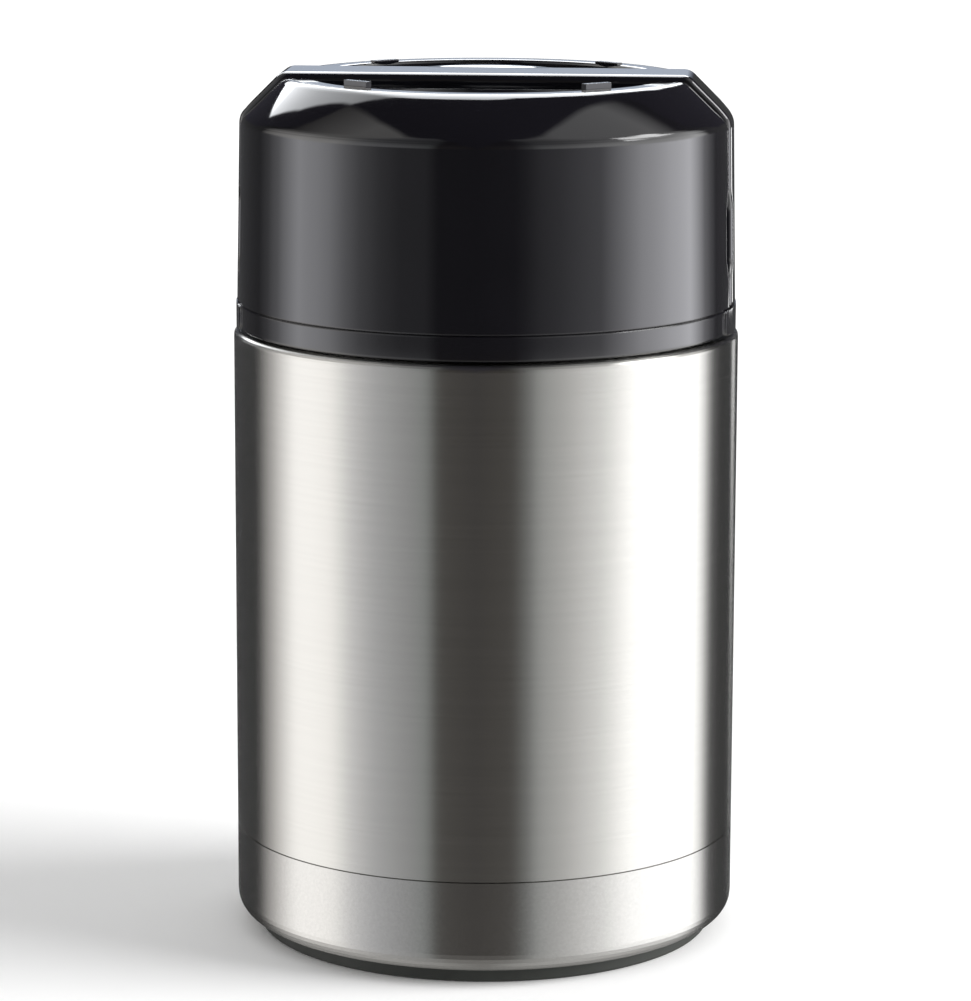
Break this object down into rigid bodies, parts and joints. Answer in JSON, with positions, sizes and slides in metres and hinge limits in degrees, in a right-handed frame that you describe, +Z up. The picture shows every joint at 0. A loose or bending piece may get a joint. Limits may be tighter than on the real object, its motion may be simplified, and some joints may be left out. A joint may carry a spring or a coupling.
{
  "type": "insulated food jar",
  "caption": "Cylindrical double-walled steel food jar with a vented stopper and a deep screw lid whose carry handle lies in a channel and pulls straight up.",
  "frame": {"origin": "on the table under the middle of the jar", "axes": "+Z up the jar's axis, X along the handle, -Y to the side that the picture shows, thumb tab on +Y"},
  "size_m": [0.1, 0.1, 0.1726],
  "materials": {
    "brushed_steel": "brushed round the body",
    "base_steel": "fine satin",
    "liner_steel": "electropolished",
    "solder": "cast bead",
    "getter": "sintered",
    "foot_rubber": "matt",
    "grey_plastic": "satin moulded",
    "black_satin": "satin moulded",
    "foam": "open foam",
    "silicone": "translucent white",
    "button_plastic": "gloss",
    "spring_steel": "drawn wire",
    "black_gloss": "high gloss",
    "collar_gloss": "high gloss",
    "panel_gloss": "gloss",
    "handle_gloss": "high gloss",
    "pin_steel": "turned"
  },
  "bodies": {
    "jar": {"outer_shell": "brushed_steel", "inner_liner": "liner_steel", "vacuum_plate": "liner_steel", "sealing_bead": "solder", "getter_pellet": "getter", "base_cup": "base_steel", "foot_ring": "foot_rubber"},
    "stopper": {"stopper_body": "grey_plastic", "stopper_cover": "black_satin", "stopper_foam": "foam", "mouth_gasket": "silicone", "vent_spring": "spring_steel"},
    "vent": {"vent_button": "button_plastic", "vent_valve": "silicone"},
    "lid": {"lid_shell": "black_gloss", "lid_collar": "collar_gloss", "lid_liner": "black_satin", "top_panel": "panel_gloss"},
    "handle": {"handle": "handle_gloss", "guide_pin_left": "pin_steel", "guide_pin_right": "pin_steel"}
  },
  "joints": [
    {"name": "stopper_lift", "type": "slide", "parent": "jar", "child": "stopper", "axis": [0, 0, 1], "range_m": [0, 0.05]},
    {"name": "vent_press", "type": "slide", "parent": "stopper", "child": "vent", "axis": [0, 0, -1], "range_m": [0, 0.0025], "stiffness_N_per_m": 250, "springref_m": -0.004, "deforming": ["vent_spring"]},
    {"name": "lid_lift", "type": "slide", "parent": "stopper", "child": "lid", "axis": [0, 0, 1], "range_m": [0, 0.07]},
    {"name": "handle_lift", "type": "slide", "parent": "lid", "child": "handle", "axis": [0, 0, 1], "range_m": [0, 0.018]}
  ]
}
